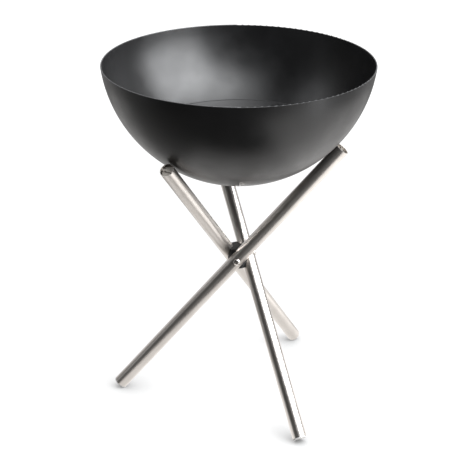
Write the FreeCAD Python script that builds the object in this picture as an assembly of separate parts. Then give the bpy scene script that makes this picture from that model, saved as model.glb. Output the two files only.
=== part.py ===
"""Patio fire bowl: a loose steel bowl cradled by three crossed stainless legs.

Units are millimetres, +Z is up and the origin is on the floor, on the stand's upright axis.
The three legs are straight tubes that lean the same way round the axis and cross at a small hub.
Each leg is built in a frame of its own, which leg_placement() then puts in the stand:
local Z runs up the tube, local X points away from the hub, and the origin is at the crossing.
"""
import FreeCAD, Part
import math
import os

# Bowl: a spherical cap of sheet steel
BOWL_RADIUS = 325.0          # outside, at the rim
BOWL_DEPTH = 289.0           # rim to underside
BOWL_WALL = 3.0
RIM_HEIGHT = 879.6           # top of the rim above the floor
DRAIN_HOLE_RADIUS = 8.0

# Ember pan: a loose dish that follows the bowl and is flat in the middle
PAN_RADIUS = 243.0
PAN_FLAT_RADIUS = 150.0
PAN_THICKNESS = 4.0
PAN_BEND_RADIUS = 12.0
PAN_EDGE_ROUND = 0.8
REST_GAP = 0.4               # between loose pieces that lie on each other

# Legs
LEG_COUNT = 3
LEG_RADIUS = 17.5            # 35 x 1.5 mm tube
LEG_WALL = 1.5
LEG_LEAN = 39.6              # degrees from upright
LEG_OFFSET = 25.0            # leg axis to the stand's axis, at the crossing
LEG_ABOVE = 392.0            # crossing to the upper end
LEG_BELOW = 478.0            # crossing to the foot
FIRST_LEG_ANGLE = -95.0      # degrees round from +X

# Foot plug, pressed into the lower end
FOOT_FLANGE = 3.0
FOOT_EDGE_ROUND = 1.0
FOOT_PLUG_LENGTH = 26.0
FOOT_PLUG_WALL = 3.0

# Web with a rain cap, welded across the upper end
WEB_THICKNESS = 5.0
WEB_DEPTH = 14.0
WEB_RECESS = 2.0
CAP_DEPTH = 3.0              # top of the web to the cap that keeps rain out of the tube
CAP_THICKNESS = 2.0

# Hub and the spigots welded into it, one for each leg
HUB_RADIUS = 26.0
HUB_HALF_HEIGHT = 26.0
HUB_EDGE = 1.5
SPIGOT_RADIUS = 9.0
SPIGOT_CLEARANCE = 0.2
TENON_RADIUS = 6.0
TENON_LENGTH = 3.0
THREAD_RADIUS = 5.0          # M10
THREAD_PLAY = 0.02
TAPPED_DEPTH = 26.0

# Screw and the saddle washer under its head
SCREW_HOLE_RADIUS = 5.5
SCREW_LENGTH = 25.0
HEAD_RADIUS = 8.75
HEAD_HEIGHT = 5.5
HEAD_SIDE = 1.2              # straight side below the dome
SOCKET_ACROSS_FLATS = 6.0
SOCKET_DEPTH = 3.2
WASHER_THICKNESS = 0.8       # at the crown of the tube

BORE_RADIUS = LEG_RADIUS - LEG_WALL
X_AXIS = FreeCAD.Vector(1, 0, 0)
Z_AXIS = FreeCAD.Vector(0, 0, 1)
LEAN = math.radians(LEG_LEAN)

# The bowl's sphere
SPHERE_RADIUS = (BOWL_RADIUS ** 2 + BOWL_DEPTH ** 2) / (2 * BOWL_DEPTH)
SPHERE_CENTRE = RIM_HEIGHT - BOWL_DEPTH + SPHERE_RADIUS

# The crossing height that sets the rounded edge of each foot on the floor
CROSSING_HEIGHT = ((LEG_BELOW - FOOT_EDGE_ROUND) * math.cos(LEAN)
                   + (LEG_RADIUS - FOOT_EDGE_ROUND) * math.sin(LEAN)
                   + FOOT_EDGE_ROUND)


def leg_placement(number):
    """Frame of one leg: Z up the tube, X away from the hub, origin at the crossing."""
    angle = math.radians(FIRST_LEG_ANGLE + number * 360.0 / LEG_COUNT)
    outward = FreeCAD.Vector(math.cos(angle), math.sin(angle), 0)
    around = FreeCAD.Vector(-math.sin(angle), math.cos(angle), 0)
    along = around * math.sin(LEAN) + Z_AXIS * math.cos(LEAN)
    turn = FreeCAD.Rotation(outward, along.cross(outward), along, "ZXY")
    return FreeCAD.Placement(outward * LEG_OFFSET + Z_AXIS * CROSSING_HEIGHT, turn)


def rod_z(radius, low, high):
    """Round bar along local Z."""
    return Part.makeCylinder(radius, high - low, FreeCAD.Vector(0, 0, low), Z_AXIS)


def rod_x(radius, low, high):
    """Round bar along local X."""
    return Part.makeCylinder(radius, high - low, FreeCAD.Vector(low, 0, 0), X_AXIS)


def sphere_arc(radius, end_radius, end_height):
    """Arc of the bowl's section: from the axis out to a point on a sphere of this radius."""
    half_angle = math.atan2(end_radius, SPHERE_CENTRE - end_height) / 2
    start = FreeCAD.Vector(0, 0, SPHERE_CENTRE - radius)
    middle = FreeCAD.Vector(radius * math.sin(half_angle), 0,
                            SPHERE_CENTRE - radius * math.cos(half_angle))
    end = FreeCAD.Vector(end_radius, 0, end_height)
    return start, Part.Arc(start, middle, end).toShape(), end


def circles_between(shape, low, high):
    """Level circular edges of a turned shape whose centres lie between two heights."""
    return [edge for edge in shape.Edges
            if isinstance(edge.Curve, Part.Circle) and abs(edge.Curve.Axis.z) > 0.99
            and low < edge.Curve.Center.z < high]


def bowl_shell():
    """Pressed bowl with a rounded lip and a drain hole under the ember pan."""
    lip_height = RIM_HEIGHT - BOWL_WALL / 2
    inner = SPHERE_RADIUS - BOWL_WALL
    drop = SPHERE_CENTRE - lip_height
    outer_low, outer_arc, outer_lip = sphere_arc(
        SPHERE_RADIUS, math.sqrt(SPHERE_RADIUS ** 2 - drop ** 2), lip_height)
    inner_low, inner_arc, inner_lip = sphere_arc(
        inner, math.sqrt(inner ** 2 - drop ** 2), lip_height)
    lip_top = FreeCAD.Vector((outer_lip.x + inner_lip.x) / 2, 0, RIM_HEIGHT)
    lip = Part.Arc(outer_lip, lip_top, inner_lip).toShape()
    axis_line = Part.makeLine(inner_low, outer_low)
    section = Part.Face(Part.Wire(Part.__sortEdges__([outer_arc, lip, inner_arc, axis_line])))
    shell = section.revolve(FreeCAD.Vector(0, 0, 0), Z_AXIS, 360)
    drain = rod_z(DRAIN_HOLE_RADIUS, outer_low.z - BOWL_WALL, inner_low.z + BOWL_WALL)
    return shell.cut(drain)


def ember_pan():
    """Loose dish with a flat middle, which keeps the embers off the bottom of the bowl."""
    under = SPHERE_RADIUS - BOWL_WALL - REST_GAP
    over = under - PAN_THICKNESS
    flat_height = SPHERE_CENTRE - math.sqrt(under ** 2 - PAN_FLAT_RADIUS ** 2)
    drop = SPHERE_CENTRE - flat_height - PAN_THICKNESS
    bend_angle = math.asin(PAN_FLAT_RADIUS / under)
    over_angle = math.acos(drop / over)
    edge_angle = math.asin(PAN_RADIUS / under)

    def on_sphere(radius, angle):
        return FreeCAD.Vector(radius * math.sin(angle), 0, SPHERE_CENTRE - radius * math.cos(angle))

    under_arc = Part.Arc(on_sphere(under, bend_angle),
                         on_sphere(under, (bend_angle + edge_angle) / 2),
                         on_sphere(under, edge_angle)).toShape()
    over_arc = Part.Arc(on_sphere(over, edge_angle),
                        on_sphere(over, (over_angle + edge_angle) / 2),
                        on_sphere(over, over_angle)).toShape()
    low = FreeCAD.Vector(0, 0, flat_height)
    high = FreeCAD.Vector(0, 0, flat_height + PAN_THICKNESS)
    sides = [Part.makeLine(low, on_sphere(under, bend_angle)), under_arc,
             Part.makeLine(on_sphere(under, edge_angle), on_sphere(over, edge_angle)), over_arc,
             Part.makeLine(on_sphere(over, over_angle), high), Part.makeLine(high, low)]
    section = Part.Face(Part.Wire(Part.__sortEdges__(sides)))
    pan = section.revolve(FreeCAD.Vector(0, 0, 0), Z_AXIS, 360)
    rim_height = on_sphere(over, edge_angle).z - PAN_THICKNESS
    pan = pan.makeFillet(PAN_EDGE_ROUND, circles_between(pan, rim_height, RIM_HEIGHT))
    return pan.makeFillet(PAN_BEND_RADIUS, circles_between(pan, 0, rim_height))


def leg_tube():
    """Straight tube: a large hole towards the hub for the spigot, a small one outside."""
    low = FOOT_FLANGE - LEG_BELOW
    tube = rod_z(LEG_RADIUS, low, LEG_ABOVE).cut(rod_z(BORE_RADIUS, low, LEG_ABOVE))
    spigot_hole = rod_x(SPIGOT_RADIUS + SPIGOT_CLEARANCE, -2 * LEG_RADIUS, 0)
    screw_hole = rod_x(SCREW_HOLE_RADIUS, 0, 2 * LEG_RADIUS)
    return tube.cut(spigot_hole).cut(screw_hole)


def leg_end_web():
    """Flat bar across the upper end, a little below its edge, with a thin cap round it."""
    high = LEG_ABOVE - WEB_RECESS
    bar = Part.makeBox(2 * BORE_RADIUS, WEB_THICKNESS, WEB_DEPTH,
                       FreeCAD.Vector(-BORE_RADIUS, -WEB_THICKNESS / 2, high - WEB_DEPTH))
    cap = rod_z(BORE_RADIUS, high - CAP_DEPTH - CAP_THICKNESS, high - CAP_DEPTH)
    return bar.common(rod_z(BORE_RADIUS, high - WEB_DEPTH, high)).fuse(cap).removeSplitter()


def foot_plug():
    """Plastic plug with a flange that the leg stands on."""
    flange = rod_z(LEG_RADIUS, -LEG_BELOW, FOOT_FLANGE - LEG_BELOW)
    sole = [edge for edge in flange.Edges
            if isinstance(edge.Curve, Part.Circle) and edge.Curve.Center.z < 1 - LEG_BELOW]
    flange = flange.makeFillet(FOOT_EDGE_ROUND, sole)
    body = rod_z(BORE_RADIUS, FOOT_FLANGE - LEG_BELOW, FOOT_PLUG_LENGTH - LEG_BELOW)
    hollow = rod_z(BORE_RADIUS - FOOT_PLUG_WALL, FOOT_FLANGE - LEG_BELOW,
                   FOOT_PLUG_LENGTH - LEG_BELOW)
    return flange.fuse(body.cut(hollow)).removeSplitter()


def hub_spigot():
    """Turned spigot that passes through the leg's inner wall; the screw threads into it."""
    body = rod_x(SPIGOT_RADIUS, -LEG_RADIUS, LEG_RADIUS)
    reach = rod_z(BORE_RADIUS, -LEG_RADIUS, LEG_RADIUS)
    towards_hub = rod_x(SPIGOT_RADIUS, -LEG_RADIUS, 0)
    tenon = rod_x(TENON_RADIUS, -LEG_RADIUS - TENON_LENGTH, -LEG_RADIUS)
    spigot = body.common(reach).fuse(towards_hub).fuse(tenon).removeSplitter()
    return spigot.cut(rod_x(THREAD_RADIUS, BORE_RADIUS - TAPPED_DEPTH, LEG_RADIUS))


def leg_screw():
    """M10 button-head screw with a hexagon socket."""
    seat = LEG_RADIUS + WASHER_THICKNESS
    shank = rod_x(THREAD_RADIUS - THREAD_PLAY, seat - SCREW_LENGTH, seat)
    dome_rise = HEAD_HEIGHT - HEAD_SIDE
    dome_radius = (HEAD_RADIUS ** 2 + dome_rise ** 2) / (2 * dome_rise)
    dome_centre = FreeCAD.Vector(seat + HEAD_HEIGHT - dome_radius, 0, 0)
    head = rod_x(HEAD_RADIUS, seat, seat + HEAD_HEIGHT).common(
        Part.makeSphere(dome_radius, dome_centre))
    corner = SOCKET_ACROSS_FLATS / math.sqrt(3)
    outline = Part.makePolygon([
        FreeCAD.Vector(seat + HEAD_HEIGHT - SOCKET_DEPTH,
                       corner * math.cos(math.radians(60 * side)),
                       corner * math.sin(math.radians(60 * side)))
        for side in range(7)])
    socket = Part.Face(outline).extrude(X_AXIS * HEAD_HEIGHT)
    return head.fuse(shank).removeSplitter().cut(socket)


def saddle_washer():
    """Washer hollowed underneath to sit on the tube, flat under the screw head."""
    seat = LEG_RADIUS + WASHER_THICKNESS
    blank = rod_x(HEAD_RADIUS, 0, seat).cut(rod_x(SCREW_HOLE_RADIUS, 0, seat))
    return blank.cut(rod_z(LEG_RADIUS, -LEG_RADIUS, LEG_RADIUS))


def hub_core():
    """Hub block: a short bar with a saddle and a spigot seat cut for each leg."""
    block = rod_z(HUB_RADIUS, CROSSING_HEIGHT - HUB_HALF_HEIGHT,
                  CROSSING_HEIGHT + HUB_HALF_HEIGHT)
    rims = [edge for edge in block.Edges if isinstance(edge.Curve, Part.Circle)]
    block = block.makeChamfer(HUB_EDGE, rims)
    for number in range(LEG_COUNT):
        saddle = rod_z(LEG_RADIUS, -4 * HUB_RADIUS, 4 * HUB_RADIUS)
        seat = rod_x(SPIGOT_RADIUS, -LEG_RADIUS, LEG_RADIUS)
        socket = rod_x(TENON_RADIUS, -LEG_RADIUS - TENON_LENGTH, -LEG_RADIUS)
        for cutter in (saddle, seat, socket):
            cutter.Placement = leg_placement(number).multiply(cutter.Placement)
            block = block.cut(cutter)
    return block


def save(name, shape):
    """Write one node, after a check that it is a single sound solid."""
    if not shape.isValid() or len(shape.Solids) != 1:
        raise ValueError(f"{name}: valid {shape.isValid()}, solids {len(shape.Solids)}")
    shape.Solids[0].exportStep(f"parts/{name}.step")


def main():
    os.makedirs("parts", exist_ok=True)
    save("bowl_shell", bowl_shell())
    save("ember_pan", ember_pan())
    save("hub_core", hub_core())
    leg_pieces = {
        "leg_tube": leg_tube(),
        "leg_end_web": leg_end_web(),
        "foot_plug": foot_plug(),
        "hub_spigot": hub_spigot(),
        "saddle_washer": saddle_washer(),
        "leg_screw": leg_screw(),
    }
    for number in range(LEG_COUNT):
        for name, piece in leg_pieces.items():
            placed = piece.copy()
            placed.Placement = leg_placement(number).multiply(piece.Placement)
            save(f"{name}_{number + 1}", placed)


main()
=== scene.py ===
"""Fire bowl on a stand of crossed stainless tubes: materials, fine pieces, studio and camera.

Everything is in metres in the CAD frame: +Z up, origin on the floor under the middle of the bowl.
"""
import math

import bmesh
import bpy
from mathutils import Matrix, Vector


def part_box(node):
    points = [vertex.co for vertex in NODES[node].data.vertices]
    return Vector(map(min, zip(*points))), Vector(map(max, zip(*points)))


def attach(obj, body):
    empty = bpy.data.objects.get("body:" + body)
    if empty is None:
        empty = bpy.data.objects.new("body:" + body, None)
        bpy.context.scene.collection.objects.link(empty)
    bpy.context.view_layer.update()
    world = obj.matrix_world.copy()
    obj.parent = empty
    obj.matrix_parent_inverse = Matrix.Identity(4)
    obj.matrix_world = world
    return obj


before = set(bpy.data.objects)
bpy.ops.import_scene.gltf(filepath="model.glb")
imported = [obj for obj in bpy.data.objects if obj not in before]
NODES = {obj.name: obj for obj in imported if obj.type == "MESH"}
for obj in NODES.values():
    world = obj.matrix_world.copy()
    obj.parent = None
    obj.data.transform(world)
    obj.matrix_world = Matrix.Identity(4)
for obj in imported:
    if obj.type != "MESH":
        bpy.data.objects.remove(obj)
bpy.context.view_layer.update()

LEG_NUMBERS = (1, 2, 3)
MM = 0.001

# Bowl lip, with its painted highlight, and pan edge
LIP_HIGHLIGHT_DEPTH = 1.8 * MM    # height of the painted highlight band along the lip
LIP_HIGHLIGHT_MIX = (0.16, 0.22)      # how much of the lighter metallic highlight colour is mixed in, least and most
# Lighter steel colour painted along the lip as a highlight
LIP_HIGHLIGHT_STEEL = (0.42, 0.42, 0.43)
BURNT_DEPTH = 2.6 * MM       # height of the burnt band on the pan
BURNT_ROUGHNESS = 0.95

# Colours, darkest and lightest
BOWL_BLACK = ((0.0018, 0.0018, 0.002), (0.003, 0.003, 0.0034))
PAN_BLACK = ((0.0025, 0.0025, 0.0028), (0.004, 0.004, 0.0045))
HUB_BLACK = ((0.003, 0.003, 0.0032), (0.006, 0.006, 0.0064))
TUBE_TINT = ((0.62, 0.585, 0.55), (0.69, 0.655, 0.62))
WEB_TINT = ((0.36, 0.33, 0.30), (0.48, 0.45, 0.41))
SPIGOT_TINT = ((0.40, 0.39, 0.38), (0.5, 0.49, 0.48))
SCREW_TINT = ((0.60, 0.57, 0.54), (0.70, 0.67, 0.64))
PLUG_GREY = ((0.42, 0.41, 0.40), (0.5, 0.49, 0.48))

# Roughness, least and most
BOWL_SHEEN = (0.31, 0.37)
PAN_SHEEN = (0.32, 0.38)
HUB_SHEEN = (0.35, 0.5)
TUBE_SHEEN = (0.27, 0.38)
WEB_SHEEN = (0.28, 0.42)
SPIGOT_SHEEN = (0.25, 0.35)
SCREW_SHEEN = (0.16, 0.26)
PLUG_SHEEN = (0.4, 0.55)

# Noise cells to the metre, and depth of bumps in metres
COAT_CLOUDS = 9.0
COAT_SHEEN_PATCHES = 30.0
COAT_GRAIN = 1400.0
COAT_GRAIN_DEPTH = 0.03 * MM
HUB_GRAIN = 900.0
HUB_GRAIN_DEPTH = 0.06 * MM
WEAR_PATCHES = 60.0
BRUSH_STRETCH = (40.0, 40.0, 2600.0)
BRUSH_DEPTH = 0.006 * MM
BRUSH_ANISOTROPY = 0.45
TUBE_PATCHES = 22.0
STEEL_PATCHES = 70.0
STEEL_GRAIN = 900.0
STEEL_GRAIN_DEPTH = 0.008 * MM
PLUG_PATCHES = 120.0
PLUG_SHEEN_PATCHES = 300.0
PLUG_GRAIN = 2200.0
PLUG_GRAIN_DEPTH = 0.02 * MM
COATED_IOR = 1.5

# Sockets of a colour Mix node, whose names aren't unique
MIX_FROM = 6
MIX_TO = 7
MIX_RESULT = 2

# Weld beads at the webs
BEAD_SIDES = 10
BEAD_STEPS = 16              # along the bead
BEAD_RIPPLE = 0.12           # share of the radius
BEAD_END = 0.4               # thickness of its ends, share of the radius
WEB_WELD_OUT = 15.4 * MM     # tube axis to bead, along the web
WEB_WELD_SIDE = 2.9 * MM     # and across it
WEB_WELD_REACH = 5.5 * MM    # half the length of the bead
WEB_WELD_RADIUS = 1.0 * MM

# Studio
CAMERA_DISTANCE = 3.109      # in front of the stand's axis
CAMERA_HEIGHT = 1.839
CAMERA_DIP = 24.24           # degrees below level
CAMERA_ROLL = 0.17
CAMERA_LENS = 106.2          # mm on a 36 mm sensor
CAMERA_SHIFT = -0.0114

WORLD_FRONT = 0.04           # brightness of the surroundings in front of the object
WORLD_REAR = 0.4             # and behind it
WORLD_FALL = (-0.4, 0.8)     # from the one to the other, along the direction's Y
AIM = (0, 0, 0.62)           # point that the softboxes face

# Softboxes: name, azimuth clockwise from +Y, elevation, distance, width, height, brightness
SOFTBOXES = (
    ("key", 112, 32, 2.8, 3.1, 2.1, 11.0),
    ("key_high", 142, 55, 2.8, 2.2, 1.3, 6.5),
    ("front_high", 180, 58, 2.8, 1.8, 1.2, 2.8),
    ("left_high", 285, 40, 2.8, 1.6, 1.2, 1.6),
    ("rear_right", 35, 12, 3.0, 2.4, 1.6, 0.5),
    ("rear", 0, -8, 3.0, 1.6, 1.4, 0.6),
    ("rear_left", 320, 5, 3.0, 2.2, 1.6, 0.4),
    ("right_strip", 112, -8, 2.6, 0.35, 2.0, 5.0),
    ("left_strip", 262, 0, 2.6, 0.5, 2.2, 0.5),
    ("top", 0, 85, 2.4, 1.6, 1.6, 2.5),
)
# Light thrown back by the floor: name, x, y, width, depth, brightness
FLOOR_GLOW = (
    ("floor_right", 0.95, -0.35, 1.1, 1.6, 1.4),
    ("floor_rear_right", 0.8, 0.95, 1.6, 1.0, 0.7),
    ("floor_rear_left", -0.8, 0.95, 1.6, 1.0, 0.5),
    ("floor_under", 0.0, 0.0, 0.8, 0.8, 0.9),
    ("floor_left", -0.95, -0.35, 1.1, 1.6, 0.1),
    ("floor_front", 0.0, -1.4, 2.4, 1.2, 0.1),
)
FLOOR_GLOW_HEIGHT = -0.02
FLOOR_TINT = (1.0, 0.985, 0.97)   # of the floor's light and of the surroundings
SOFTBOX_TINT = (0.965, 0.98, 1.0)

FLOOR_SIZE = 60.0
FLOOR_PAPER = 0.15           # how much light the paper itself scatters
FLOOR_NEAR = 0.85            # its own brightness at the object
FLOOR_FAR = 1.05             # and far behind it, where it runs into the backdrop
FLOOR_NEAR_RADIUS = 1.0
FLOOR_FAR_RADIUS = 2.6
CONTACT_REACH = 0.08         # of the painted soft shadow where something stands on the floor
CONTACT_SAMPLES = 8
DOME_RADIUS = 29.0
DOME_BRIGHTNESS = 1.3


def centre(node):
    """Middle of a CAD node's box, within about a millimetre of the axis of a round piece."""
    low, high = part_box(node)
    return (Vector(low) + Vector(high)) / 2


def leg_axes(number):
    """Direction up a leg's tube, and direction away from the hub."""
    foot = centre(f"foot_plug_{number}")
    head = centre(f"leg_end_web_{number}")
    along = (head - foot).normalized()
    screw = centre(f"leg_screw_{number}")
    outward = Vector((screw.x, screw.y, 0)).normalized()
    return along, outward


# ---------------------------------------------------------------- material helpers

class Nodes:
    """A node material with one Principled shader, and short ways to add nodes to it."""

    def __init__(self, name, **sockets):
        self.material = bpy.data.materials.new(name)
        self.material.use_nodes = True
        self.tree = self.material.node_tree
        self.shader = self.tree.nodes["Principled BSDF"]
        for socket, value in sockets.items():
            self.shader.inputs[socket.replace("_", " ")].default_value = value

    def add(self, kind, settings=None, **inputs):
        """New node; an input is a value, or a socket of another node to link from."""
        node = self.tree.nodes.new(kind)
        for key, value in (settings or {}).items():
            setattr(node, key, value)
        for key, value in inputs.items():
            name = key.replace("_", " ")
            target = node.inputs[int(key[1:])] if key[0] == "i" and key[1:].isdigit() else node.inputs[name]
            if isinstance(value, bpy.types.NodeSocket):
                self.tree.links.new(value, target)
            else:
                target.default_value = value
        return node

    def place(self):
        """Coordinates in the CAD frame, in metres."""
        return self.add("ShaderNodeTexCoord").outputs["Object"]

    def noise(self, where, scale, detail=2.0, roughness=0.5):
        node = self.add("ShaderNodeTexNoise", Vector=where, Scale=scale, Detail=detail,
                        Roughness=roughness)
        return node.outputs["Fac"]

    def ramp(self, fac, low, high, start=0.3, end=0.7):
        """Two-stop ramp from one colour to another."""
        node = self.add("ShaderNodeValToRGB", Fac=fac)
        first, last = node.color_ramp.elements
        first.position, first.color = start, (*low, 1.0)
        last.position, last.color = end, (*high, 1.0)
        return node.outputs["Color"]

    def span(self, fac, low, high, start=0.3, end=0.7):
        """Plain number that runs from low to high as fac runs from start to end."""
        node = self.add("ShaderNodeMapRange", Value=fac)
        for key, value in (("From Min", start), ("From Max", end), ("To Min", low), ("To Max", high)):
            node.inputs[key].default_value = value
        return node.outputs["Result"]

    def bump(self, height, depth, strength=1.0):
        """Bump of a stated depth in metres."""
        node = self.add("ShaderNodeBump", Height=height, Distance=depth, Strength=strength)
        self.tree.links.new(node.outputs["Normal"], self.shader.inputs["Normal"])

    def link(self, output, socket):
        self.tree.links.new(output, self.shader.inputs[socket])


def powder_coat(name, dark, light, rough_low, rough_high, grain=COAT_GRAIN, depth=COAT_GRAIN_DEPTH):
    """Matt heat-proof coat: fine grain, faint cloudiness, uneven sheen."""
    coat = Nodes(name, IOR=COATED_IOR)
    where = coat.place()
    cloud = coat.noise(where, COAT_CLOUDS, 4.0)
    coat.link(coat.ramp(cloud, dark, light), "Base Color")
    sheen = coat.noise(where, COAT_SHEEN_PATCHES, 3.0)
    coat.link(coat.span(sheen, rough_low, rough_high), "Roughness")
    coat.bump(coat.noise(where, grain, 3.0, 0.6), depth)
    return coat


def paint_lip_highlight(coat, lip_height):
    """Painted highlight along the very top of a lip: a lighter, partly metallic colour mixed into the coat
    in patches.
    """
    where = coat.place()
    height = coat.add("ShaderNodeSeparateXYZ", Vector=where).outputs["Z"]
    top = coat.span(height, 0.0, 1.0, lip_height - LIP_HIGHLIGHT_DEPTH, lip_height)
    patchy = coat.span(coat.noise(where, WEAR_PATCHES, 3.0), *LIP_HIGHLIGHT_MIX, 0.35, 0.6)
    # Mask of the painted lip highlight: the top of the lip, in patches
    lip_highlight = coat.add("ShaderNodeMath", {"operation": "MULTIPLY"}, i0=top, i1=patchy).outputs["Value"]
    colour = coat.shader.inputs["Base Color"].links[0].from_socket
    mix = coat.add("ShaderNodeMix", {"data_type": "RGBA"}, i0=lip_highlight)
    coat.tree.links.new(colour, mix.inputs[MIX_FROM])
    mix.inputs[MIX_TO].default_value = (*LIP_HIGHLIGHT_STEEL, 1.0)
    coat.link(mix.outputs[MIX_RESULT], "Base Color")
    coat.link(lip_highlight, "Metallic")


def burn_edge(coat, edge_height):
    """Matt burnt band along the upper edge of the pan, where it has no sheen left."""
    height = coat.add("ShaderNodeSeparateXYZ", Vector=coat.place()).outputs["Z"]
    sheen = coat.shader.inputs["Roughness"].links[0].from_socket
    burnt = coat.span(height, 0.0, BURNT_ROUGHNESS, edge_height - BURNT_DEPTH, edge_height)
    rough = coat.add("ShaderNodeMath", {"operation": "MAXIMUM"}, i0=sheen, i1=burnt)
    coat.link(rough.outputs["Value"], "Roughness")


def brushed_tube(name, number, tint_low, tint_high, rough_low, rough_high):
    """Stainless tube ground on a belt: fine scratches that run round it."""
    along, outward = leg_axes(number)
    side = along.cross(outward)
    metal = Nodes(name, Metallic=1.0, Anisotropic=BRUSH_ANISOTROPY)
    where = metal.place()
    turn = Matrix((outward, side, along)).transposed().to_euler()
    local = metal.add("ShaderNodeVectorRotate", {"rotation_type": "EULER_XYZ", "invert": True},
                      Vector=where, Rotation=tuple(turn))
    stretched = metal.add("ShaderNodeMapping", Vector=local.outputs["Vector"],
                          Scale=BRUSH_STRETCH)
    scratches = metal.noise(stretched.outputs["Vector"], 1.0, 4.0, 0.7)
    patches = metal.noise(where, TUBE_PATCHES, 3.0)
    tangent = metal.add("ShaderNodeCombineXYZ", X=along.x, Y=along.y, Z=along.z)
    metal.link(metal.ramp(patches, tint_low, tint_high), "Base Color")
    metal.link(metal.span(scratches, rough_low, rough_high), "Roughness")
    metal.link(tangent.outputs["Vector"], "Tangent")
    metal.bump(scratches, BRUSH_DEPTH)
    return metal.material


def plain_steel(name, tint_low, tint_high, rough_low, rough_high):
    """Turned or sheared stainless: fine grain with no clear direction."""
    metal = Nodes(name, Metallic=1.0)
    where = metal.place()
    fine = metal.noise(where, STEEL_GRAIN, 3.0)
    metal.link(metal.ramp(metal.noise(where, STEEL_PATCHES), tint_low, tint_high), "Base Color")
    metal.link(metal.span(fine, rough_low, rough_high), "Roughness")
    metal.bump(fine, STEEL_GRAIN_DEPTH)
    return metal.material


def moulded_plastic(name, dark, light, rough_low, rough_high):
    """Moulded plug: faint mottling and a fine satin grain."""
    plastic = Nodes(name, IOR=COATED_IOR)
    where = plastic.place()
    plastic.link(plastic.ramp(plastic.noise(where, PLUG_PATCHES), dark, light), "Base Color")
    sheen = plastic.noise(where, PLUG_SHEEN_PATCHES)
    plastic.link(plastic.span(sheen, rough_low, rough_high), "Roughness")
    plastic.bump(plastic.noise(where, PLUG_GRAIN), PLUG_GRAIN_DEPTH)
    return plastic.material


def dress(node, material):
    """Puts one material on every slot of a CAD node."""
    mesh = NODES[node].data
    if not mesh.materials:
        mesh.materials.append(material)
    for index in range(len(mesh.materials)):
        NODES[node].material_slots[index].material = material


# ---------------------------------------------------------------- the object

def dress_object():
    """Gives every CAD node its material, and adds the weld beads."""
    bowl_coat = powder_coat("bowl_coat", *BOWL_BLACK, *BOWL_SHEEN)
    # Painted highlight along the bowl's lip
    paint_lip_highlight(bowl_coat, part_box("bowl_shell")[1][2])
    dress("bowl_shell", bowl_coat.material)
    pan_coat = powder_coat("pan_coat", *PAN_BLACK, *PAN_SHEEN)
    burn_edge(pan_coat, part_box("ember_pan")[1][2])
    dress("ember_pan", pan_coat.material)
    hub_coat = powder_coat("hub_coat", *HUB_BLACK, *HUB_SHEEN, HUB_GRAIN, HUB_GRAIN_DEPTH)
    dress("hub_core", hub_coat.material)
    web_steel = plain_steel("web_steel", *WEB_TINT, *WEB_SHEEN)
    spigot_steel = plain_steel("spigot_steel", *SPIGOT_TINT, *SPIGOT_SHEEN)
    screw_steel = plain_steel("screw_steel", *SCREW_TINT, *SCREW_SHEEN)
    plug_plastic = moulded_plastic("plug_plastic", *PLUG_GREY, *PLUG_SHEEN)
    for number in LEG_NUMBERS:
        tube_steel = brushed_tube(f"tube_steel_{number}", number, *TUBE_TINT, *TUBE_SHEEN)
        dress(f"leg_tube_{number}", tube_steel)
        dress(f"leg_end_web_{number}", web_steel)
        web_welds(number, web_steel)
        dress(f"hub_spigot_{number}", spigot_steel)
        dress(f"saddle_washer_{number}", screw_steel)
        dress(f"leg_screw_{number}", screw_steel)
        dress(f"foot_plug_{number}", plug_plastic)


# ---------------------------------------------------------------- weld beads

def bead(name, path, radius, material):
    """Weld bead along a path: a round string whose thickness ripples like laid weld."""
    mesh = bmesh.new()
    last = len(path) - 1
    rings = []
    for index, point in enumerate(path):
        ahead = (path[min(index + 1, last)] - path[max(index - 1, 0)]).normalized()
        side = ahead.orthogonal().normalized()
        up = ahead.cross(side)
        thick = radius * (1 + BEAD_RIPPLE * math.sin(index * math.pi / 2))
        if index in (0, last):
            thick *= BEAD_END
        turns = [step * math.tau / BEAD_SIDES for step in range(BEAD_SIDES)]
        rings.append([mesh.verts.new(point + side * thick * math.cos(turn) + up * thick * math.sin(turn))
                      for turn in turns])
    for low, high in zip(rings, rings[1:]):
        for step in range(BEAD_SIDES):
            beside = (step + 1) % BEAD_SIDES
            mesh.faces.new((low[step], low[beside], high[beside], high[step]))
    mesh.faces.new(reversed(rings[0]))
    mesh.faces.new(rings[-1])
    for face in mesh.faces:
        face.smooth = True
    bmesh.ops.recalc_face_normals(mesh, faces=mesh.faces)
    data = bpy.data.meshes.new(name)
    mesh.to_mesh(data)
    mesh.free()
    data.materials.append(material)
    piece = bpy.data.objects.new(name, data)
    bpy.context.collection.objects.link(piece)
    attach(piece, "stand")


def web_welds(number, material):
    """Short fillet welds down both faces of the web, where it meets the tube."""
    along, outward = leg_axes(number)
    side = along.cross(outward)
    web = centre(f"leg_end_web_{number}")
    for place, (end, face) in enumerate(((1, 1), (1, -1), (-1, 1), (-1, -1))):
        corner = web + outward * end * WEB_WELD_OUT + side * face * WEB_WELD_SIDE
        path = [corner + along * WEB_WELD_REACH * (2 * step / BEAD_STEPS - 1)
                for step in range(BEAD_STEPS + 1)]
        bead(f"web_weld_{number}_{place + 1}", path, WEB_WELD_RADIUS, material)


# ---------------------------------------------------------------- studio

def show_only_to_camera(thing):
    """Keeps the floor and the backdrop out of the light and the reflections."""
    thing.visible_diffuse = False
    thing.visible_glossy = False
    thing.visible_transmission = False
    thing.visible_volume_scatter = False
    thing.visible_shadow = False


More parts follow.
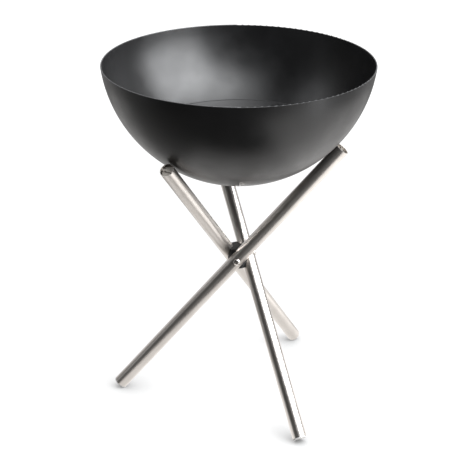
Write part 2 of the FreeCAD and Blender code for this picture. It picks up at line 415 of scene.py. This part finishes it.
def pale_floor():
    """Plain pale floor whose own glow is darkened softly by a painted contact shadow where something stands
    on it.
    """
    bpy.ops.mesh.primitive_plane_add(size=FLOOR_SIZE)
    floor = bpy.context.object
    floor.name = "floor"
    paper = bpy.data.materials.new("floor_paper")
    paper.use_nodes = True
    tree = paper.node_tree
    shader = tree.nodes["Principled BSDF"]
    shader.inputs["Base Color"].default_value = (FLOOR_PAPER, FLOOR_PAPER, FLOOR_PAPER, 1)
    shader.inputs["Roughness"].default_value = 1.0
    shader.inputs["Specular IOR Level"].default_value = 0.0
    place = tree.nodes.new("ShaderNodeTexCoord").outputs["Object"]
    distance = tree.nodes.new("ShaderNodeVectorMath")
    distance.operation = "LENGTH"
    brighten = tree.nodes.new("ShaderNodeMapRange")
    for key, value in (("From Min", FLOOR_NEAR_RADIUS), ("From Max", FLOOR_FAR_RADIUS),
                       ("To Min", FLOOR_NEAR), ("To Max", FLOOR_FAR)):
        brighten.inputs[key].default_value = value
    tree.links.new(place, distance.inputs[0])
    tree.links.new(distance.outputs["Value"], brighten.inputs["Value"])
    tree.links.new(brighten.outputs["Result"], shader.inputs["Emission Strength"])
    # Painted contact shadow: ambient occlusion darkens the floor's glow around the feet
    contact = tree.nodes.new("ShaderNodeAmbientOcclusion")
    contact.inputs["Distance"].default_value = CONTACT_REACH
    contact.samples = CONTACT_SAMPLES
    tree.links.new(contact.outputs["Color"], shader.inputs["Emission Color"])
    floor.data.materials.append(paper)
    show_only_to_camera(floor)


def white_backdrop():
    """Far white dome, so the background stays plain from every side."""
    bpy.ops.mesh.primitive_uv_sphere_add(radius=DOME_RADIUS, segments=48, ring_count=24)
    dome = bpy.context.object
    dome.name = "backdrop"
    white = bpy.data.materials.new("backdrop_white")
    white.use_nodes = True
    shader = white.node_tree.nodes["Principled BSDF"]
    shader.inputs["Base Color"].default_value = (0, 0, 0, 1)
    shader.inputs["Specular IOR Level"].default_value = 0.0
    shader.inputs["Emission Color"].default_value = (1, 1, 1, 1)
    shader.inputs["Emission Strength"].default_value = DOME_BRIGHTNESS
    dome.data.materials.append(white)
    show_only_to_camera(dome)


def soft_light(name, place, target, width, height, radiance, tint):
    """Area light of a stated brightness, seen in reflections and not by the camera."""
    lamp = bpy.data.lights.new(name, "AREA")
    lamp.shape = "RECTANGLE"
    lamp.size = width
    lamp.size_y = height
    lamp.energy = radiance * math.pi * width * height
    lamp.color = tint
    thing = bpy.data.objects.new(name, lamp)
    bpy.context.collection.objects.link(thing)
    thing.location = place
    thing.rotation_euler = (Vector(target) - Vector(place)).to_track_quat("-Z", "Y").to_euler()
    thing.visible_camera = False


def around(azimuth, elevation, distance, target):
    """Point seen from target at an azimuth clockwise from +Y, and an elevation."""
    turn, rise = math.radians(azimuth), math.radians(elevation)
    step = Vector((math.sin(turn) * math.cos(rise), math.cos(turn) * math.cos(rise), math.sin(rise)))
    return Vector(target) + step * distance


def studio_world():
    """Pale surroundings behind the object that fall off to a dim room in front of it."""
    world = bpy.data.worlds.new("studio")
    bpy.context.scene.world = world
    world.use_nodes = True
    tree = world.node_tree
    background = tree.nodes["Background"]
    background.inputs["Color"].default_value = (*FLOOR_TINT, 1)
    direction = tree.nodes.new("ShaderNodeTexCoord").outputs["Generated"]
    split = tree.nodes.new("ShaderNodeSeparateXYZ")
    fall = tree.nodes.new("ShaderNodeMapRange")
    fall.interpolation_type = "SMOOTHSTEP"
    for key, value in (("From Min", WORLD_FALL[0]), ("From Max", WORLD_FALL[1]),
                       ("To Min", WORLD_FRONT), ("To Max", WORLD_REAR)):
        fall.inputs[key].default_value = value
    tree.links.new(direction, split.inputs["Vector"])
    tree.links.new(split.outputs["Y"], fall.inputs["Value"])
    tree.links.new(fall.outputs["Result"], background.inputs["Strength"])


def studio_lights():
    """Softboxes round the object, and upward lights for what a pale floor throws back."""
    for name, azimuth, elevation, distance, width, height, radiance in SOFTBOXES:
        soft_light(name, around(azimuth, elevation, distance, AIM), AIM, width, height, radiance,
                   SOFTBOX_TINT)
    for name, x, y, width, depth, radiance in FLOOR_GLOW:
        soft_light(name, (x, y, FLOOR_GLOW_HEIGHT), (x, y, 1), width, depth, radiance, FLOOR_TINT)


def camera():
    """Long lens in front of the stand, above the rim and tipped down."""
    data = bpy.data.cameras.new("camera")
    data.sensor_width = 36.0
    data.lens = CAMERA_LENS
    data.shift_x = CAMERA_SHIFT
    view = bpy.data.objects.new("camera", data)
    bpy.context.collection.objects.link(view)
    view.location = (0, -CAMERA_DISTANCE, CAMERA_HEIGHT)
    level = Matrix.Rotation(math.radians(90 - CAMERA_DIP), 4, "X")
    view.rotation_euler = (level @ Matrix.Rotation(math.radians(CAMERA_ROLL), 4, "Z")).to_euler()
    bpy.context.scene.camera = view
    bpy.context.scene.view_settings.view_transform = "Standard"


dress_object()
pale_floor()
white_backdrop()
studio_world()
studio_lights()
camera()
